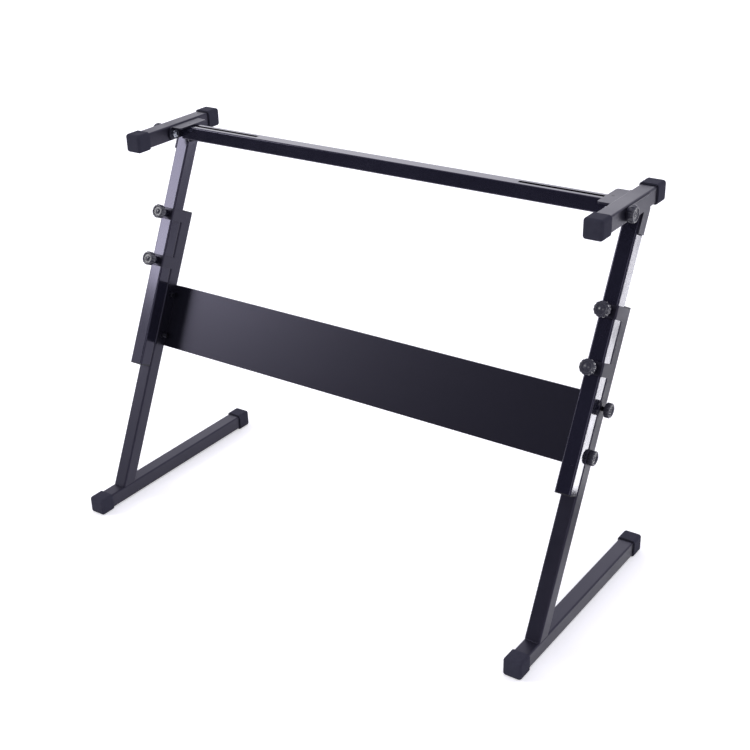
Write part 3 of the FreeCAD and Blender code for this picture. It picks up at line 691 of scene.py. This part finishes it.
deselect()
bpy.ops.mesh.primitive_circle_add(vertices=14, radius=BEAD_END, fill_type="NGON")
bead = bpy.context.object
bead.name = "weld_bead"
bpy.ops.object.mode_set(mode="EDIT")
bpy.ops.mesh.select_all(action="SELECT")
step = BEAD_LENGTH / (len(PUDDLE_GROWTH) * PUDDLES)
for _ in range(PUDDLES):
    for grow in PUDDLE_GROWTH:
        bpy.ops.mesh.extrude_region_move(TRANSFORM_OT_translate={"value": (0, 0, step)})
        bpy.ops.transform.resize(value=(grow, grow, 1))
bpy.ops.mesh.select_all(action="SELECT")
bpy.ops.mesh.normals_make_consistent(inside=False)
bpy.ops.object.mode_set(mode="OBJECT")
apply_modifier(bead, "SUBSURF", levels=1, render_levels=1)
make_active(bead)
bpy.ops.object.shade_smooth()
dress(bead, tube_coat)
print("bead", len(bead.data.polygons), "faces")

# %% [markdown]
# ## Seams
#
# The seams are found on the frame itself: the level cut of each lower post on its foot, the free
# edges of the clamp brackets on the post's sides, and the lower ends of the hinge plates.

# %% Beads on the seams
arm_low, arm_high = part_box("arm_tube_right")
LEG_X = (arm_low[0] + arm_high[0]) / 2
HALF_TUBE = (arm_high[0] - arm_low[0]) / 2
LEAN_UP = Vector(joints["height_slide"]["axis"]).normalized()
LEAN_BACK = Vector((0, LEAN_UP.z, -LEAN_UP.y))
ACROSS = Vector((1, 0, 0))
SAME_EDGE = 0.05 * MM
END_GAP, BRACKET_END_GAP, BRACKET_EDGE_GAP = 3 * MM, 1 * MM, 2 * MM
FOOT_LIFT, BRACKET_LIFT, PLATE_DROP, PLATE_LIFT = 0.3 * MM, 0.4 * MM, 0.3 * MM, 0.7 * MM
FULL_BEAD, SLIM_BEAD = 1.2, 0.9


def bead_between(start, end, thickness):
    line = end - start
    stretch = Matrix.Diagonal((thickness, thickness, line.length / BEAD_LENGTH, 1))
    return copy_of(bead, "seam", turn_to(line.normalized(), start) @ stretch)


def ride_beads(pieces, name, body):
    weld = join(pieces, name)
    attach(weld, body)


for side, sign in SIDES.items():
    post = nodes[f"lower_post_{side}"].data.vertices
    foot_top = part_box(f"foot_tube_{side}")[1].z
    cut = [vertex.co for vertex in post if vertex.co.z < foot_top + SAME_EDGE]
    x0, x1 = min(v.x for v in cut) + END_GAP, max(v.x for v in cut) - END_GAP
    y0, y1 = min(v.y for v in cut), max(v.y for v in cut)
    z = foot_top + FOOT_LIFT
    beads = [bead_between(Vector((x0, y, z)), Vector((x1, y, z)), FULL_BEAD) for y in (y0, y1)]
    ride_beads(beads, f"weld_foot_{side}", "lower_frame")
    for level in LEVELS:
        node = f"clamp_bracket_{side}_{level}"
        corner_point = Vector((sign * LEG_X, 0, 0))
        back = reach_along(node, corner_point, LEAN_BACK)[1]
        low, high = reach_along(node, corner_point, LEAN_UP)
        beads = []
        near_x, far_x = reach_along(node, corner_point, ACROSS)
        for edge_x in (near_x + BRACKET_EDGE_GAP, far_x - BRACKET_EDGE_GAP):
            foot_of_seam = corner_point + ACROSS * edge_x + LEAN_BACK * (back + BRACKET_LIFT)
            start = foot_of_seam + LEAN_UP * (low + BRACKET_END_GAP)
            stop = foot_of_seam + LEAN_UP * (high - BRACKET_END_GAP)
            beads.append(bead_between(start, stop, SLIM_BEAD))
        ride_beads(beads, f"weld_bracket_{side}_{level}", "lower_frame")
    for plate, direction in (("outer", sign), ("inner", -sign)):
        node = f"hinge_plate_{plate}_{side}"
        points = [vertex.co for vertex in nodes[node].data.vertices]
        lowest = min(v.dot(LEAN_UP) for v in points)
        edge_points = [v for v in points if v.dot(LEAN_UP) < lowest + SAME_EDGE]
        front = min(v.dot(LEAN_BACK) for v in edge_points) + END_GAP
        rear = max(v.dot(LEAN_BACK) for v in edge_points) - END_GAP
        x = sign * LEG_X + direction * (HALF_TUBE + PLATE_LIFT)
        seam_line = Vector((x, 0, 0)) + LEAN_UP * (lowest - PLATE_DROP)
        start, stop = seam_line + LEAN_BACK * front, seam_line + LEAN_BACK * rear
        ride_beads([bead_between(start, stop, SLIM_BEAD)], f"weld_hinge_{plate}_{side}", "top_frame")
bpy.data.objects.remove(bead)
print("seams welded")

# %% [markdown]
# ## The studio
#
# The photo is a catalogue shot: white all round and hardly any colour in the light. The black paint
# shows almost nothing of itself, only what it mirrors, so the room matters more than the lamps. The
# white floor and walls give the sides and tops their grey. A soft box at the front left greys the
# left leg's front and fades along the panel. A dim one near the camera lights the rounded corners
# and the knobs, and misses the flat fronts.

# %% Floor
deselect()
FLOOR_WIDTH, FLOOR_FRONT, FLOOR_BACK = 14, -1.4, 9
bpy.ops.mesh.primitive_plane_add(size=1, location=(0, (FLOOR_FRONT + FLOOR_BACK) / 2, 0))
floor = bpy.context.object
floor.name = "studio_floor"
floor.scale = (FLOOR_WIDTH, FLOOR_BACK - FLOOR_FRONT, 1)
bpy.context.view_layer.update()
put_place_in_mesh(floor)
print("floor", FLOOR_WIDTH, "m wide")

# %% [markdown]
# ## White paper
#
# The floor is a roll of matt white paper. In the photo it is as white as the walls, which the lamps
# alone don't make it. So the paper also glows a little, but only for what looks at it, the camera
# or a mirror, and its glow sheds no light on the stand.

# %% Paper
paper, tree, shader, place = new_material("white_paper")
fibre = add_node(tree, "ShaderNodeTexNoise", {"Vector": place, "Scale": 1 / (4 * MM), "Detail": 2.0})
paper_shade = add_node(
    tree,
    "ShaderNodeMix",
    {"Factor": fibre.outputs["Fac"], "A": colour("#f6f6f7"), "B": colour("#fafafb")},
    data_type="RGBA",
)
tree.links.new(paper_shade.outputs["Result"], shader.inputs["Base Color"])
shader.inputs["Roughness"].default_value = 0.9
shader.inputs["Specular IOR Level"].default_value = 0.1


def looked_at(tree):
    """1 where the camera looks, straight on, in a mirror or through glass, and 0 for other light."""
    ray = add_node(tree, "ShaderNodeLightPath").outputs
    straight = add_node(
        tree, "ShaderNodeMath", {0: ray["Is Camera Ray"], 1: ray["Is Glossy Ray"]}, operation="MAXIMUM"
    ).outputs["Value"]
    return add_node(
        tree, "ShaderNodeMath", {0: straight, 1: ray["Is Transmission Ray"]}, operation="MAXIMUM"
    ).outputs["Value"]


FLOOR_GLOW = 0.42
glow = add_node(tree, "ShaderNodeMath", {0: looked_at(tree), 1: FLOOR_GLOW}, operation="MULTIPLY")
shader.inputs["Emission Color"].default_value = (1, 1, 1, 1)
tree.links.new(glow.outputs["Value"], shader.inputs["Emission Strength"])
dress(floor, paper)
print("made", paper.name)

# %% [markdown]
# ## The white room
#
# The world stands for white walls. The camera sees plain white, and the paint sees a white with a
# touch of violet, which is what tints its greys in the photo. For all other light it is a little
# dimmer, so that the lamps still shape the stand.

# %% World
ROOM_LEVEL = 0.9
world = bpy.data.worlds.new("white_room")
bpy.context.scene.world = world
world.use_nodes = True
tree = world.node_tree
background = tree.nodes["Background"]
seen = looked_at(tree)
camera_ray = add_node(tree, "ShaderNodeLightPath").outputs["Is Camera Ray"]
strength = add_node(tree, "ShaderNodeMapRange", {"Value": seen, "To Min": ROOM_LEVEL, "To Max": 1.0})
hue = add_node(
    tree,
    "ShaderNodeMix",
    {"Factor": camera_ray, "A": colour("#f2f0ff"), "B": (1, 1, 1, 1)},
    data_type="RGBA",
)
tree.links.new(hue.outputs["Result"], background.inputs["Color"])
tree.links.new(strength.outputs["Result"], background.inputs["Strength"])
print("world", world.name)

# %% [markdown]
# ## The grey cloth
#
# A wide dark cloth hangs behind the camera. It is why the right leg's front is black while its top
# and sides are grey. It is hidden from the camera, so that it never stands in the way of a view
# from the front, and only its reflection and its shade reach the stand.

# %% Cloth
deselect()
CLOTH_WIDTH, CLOTH_LOW, CLOTH_HIGH, CLOTH_Y = 15, -1.0, 6.0, -3.3
bpy.ops.mesh.primitive_plane_add(size=1, location=(0, CLOTH_Y, (CLOTH_LOW + CLOTH_HIGH) / 2))
cloth = bpy.context.object
cloth.name = "dark_cloth"
cloth.scale = (CLOTH_WIDTH, CLOTH_HIGH - CLOTH_LOW, 1)
cloth.rotation_euler = (math.pi / 2, 0, 0)
bpy.context.view_layer.update()
put_place_in_mesh(cloth)
felt, tree, shader, place = new_material("grey_felt")
nap = add_node(tree, "ShaderNodeTexNoise", {"Vector": place, "Scale": 1 / (8 * MM), "Detail": 2.0})
felt_shade = add_node(
    tree,
    "ShaderNodeMix",
    {"Factor": nap.outputs["Fac"], "A": colour("#6a6971"), "B": colour("#72717a")},
    data_type="RGBA",
)
tree.links.new(felt_shade.outputs["Result"], shader.inputs["Base Color"])
shader.inputs["Roughness"].default_value = 1.0
shader.inputs["Specular IOR Level"].default_value = 0.0
dress(cloth, felt)
cloth.visible_camera = False
print("cloth", CLOTH_WIDTH, "m wide")

# %% [markdown]
# ## Soft boxes
#
# Four wide lamps, placed by where each surface mirrors them. The front left pair is bright above and
# dim below, so the left post's front fades downwards. The back box lights the tops. Each lamp's power
# is worked out from how bright its face should look, which is what a glossy paint shows.


# %% Lamps
def soft_box(name, place, target, width, height, radiance):
    """An area lamp that faces a point. Its power follows from how bright its face should look."""
    deselect()
    bpy.ops.object.light_add(type="AREA", location=place)
    lamp = bpy.context.object
    lamp.name = name
    lamp.data.shape = "RECTANGLE"
    lamp.data.size = width
    lamp.data.size_y = height
    lamp.data.energy = radiance * math.pi * width * height
    lamp.rotation_euler = (Vector(target) - Vector(place)).to_track_quat("-Z", "Y").to_euler()
    lamp.visible_camera = False
    return lamp


LEFT_LEG, MIDDLE, LOW_MIDDLE = (-0.3, 0, 0.45), (0, 0, 0.6), (0.1, 0, 0.4)
key = soft_box("front_left_box", (-3.06, -2.18, 2.12), LEFT_LEG, width=1.4, height=1.3, radiance=9.0)
fade = soft_box("front_left_fade", (-2.72, -1.94, 0.98), LEFT_LEG, width=1.4, height=1.2, radiance=1.4)
back = soft_box("back_box", (-1.6, 4.2, 1.9), MIDDLE, width=4.6, height=2.2, radiance=1.05)
fill = soft_box("camera_side_fill", (1.15, -2.8, 1.6), LOW_MIDDLE, width=1.6, height=1.4, radiance=2.6)
print("lamps", [round(lamp.data.energy, 1) for lamp in (key, fade, back, fill)])

# %% [markdown]
# ## The floor strip
#
# The right upper post carries a white streak down its outer face, and nothing beside it does. That
# is a thin strip light lying on the floor, seen in the smooth coat of that post alone. Mirror the
# camera in the post's face: the sight lines through the post's two ends meet the floor where the
# strip has to start and end.

# %% Floor strip
outer_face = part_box("upper_post_right")[1][0]
mirrored_camera = Vector((2 * outer_face - CAMERA_PLACE.x, CAMERA_PLACE.y, CAMERA_PLACE.z))


def on_floor(point):
    sight = point - mirrored_camera
    return mirrored_camera + sight * (mirrored_camera.z / -sight.z)


STRIP_WIDTH = 0.036
STRIP_LIFT, CARD_LIFT = 8 * MM, 4 * MM
STREAK_START = 3 * MM
STREAK_IN = 0.75 * HALF_TUBE
post_points = [vertex.co for vertex in nodes["upper_post_right"].data.vertices]
post_foot = min(post_points, key=lambda point: point.dot(LEAN_UP)).dot(LEAN_UP)
post_head = max(post_points, key=lambda point: point.dot(LEAN_UP)).dot(LEAN_UP)
near_front = min(point.dot(LEAN_BACK) for point in post_points)
streak_depth = near_front + STREAK_IN
near, far = [
    on_floor(Vector((outer_face, 0, 0)) + LEAN_UP * height + LEAN_BACK * streak_depth)
    for height in (post_foot + STREAK_START, post_head)
]
strip_run = far - near
strip_middle = (near + far) / 2 + Vector((0, 0, STRIP_LIFT))
overhead = strip_middle + Vector((0, 0, 1))
strip = soft_box(
    "floor_strip", strip_middle, overhead, width=STRIP_WIDTH, height=strip_run.length, radiance=10.0
)
strip.rotation_euler = (math.pi, 0, -math.atan2(strip_run.x, strip_run.y))
print("strip", round(strip_run.length, 2), "m long")

# %% [markdown]
# ## The card under the strip
#
# The strip lies on a grey card, which is there for reflections alone and shades nothing. The card
# keeps the white floor out of the right leg's outer side, so that the bracket and the lower post
# beside the streak stay grey.

# %% Card
deselect()
CARD_LEFT, CARD_RIGHT, CARD_FRONT, CARD_BACK = 0.6, 1.3, 0.1, 1.15
card_middle = ((CARD_LEFT + CARD_RIGHT) / 2, (CARD_FRONT + CARD_BACK) / 2, CARD_LIFT)
bpy.ops.mesh.primitive_plane_add(size=1, location=card_middle)
card = bpy.context.object
card.name = "grey_card"
card.scale = (CARD_RIGHT - CARD_LEFT, CARD_BACK - CARD_FRONT, 1)
bpy.context.view_layer.update()
put_place_in_mesh(card)
dress(card, felt)
card.visible_camera = False
card.visible_shadow = False
card.visible_diffuse = False
print("card", round(CARD_RIGHT - CARD_LEFT, 2), "m wide")

# %% [markdown]
# ## How the picture is shown
#
# The Standard view shows each colour as it is written, with no film curve over it.

# %% Picture settings
bpy.context.scene.view_settings.view_transform = "Standard"
print("view", bpy.context.scene.view_settings.view_transform)
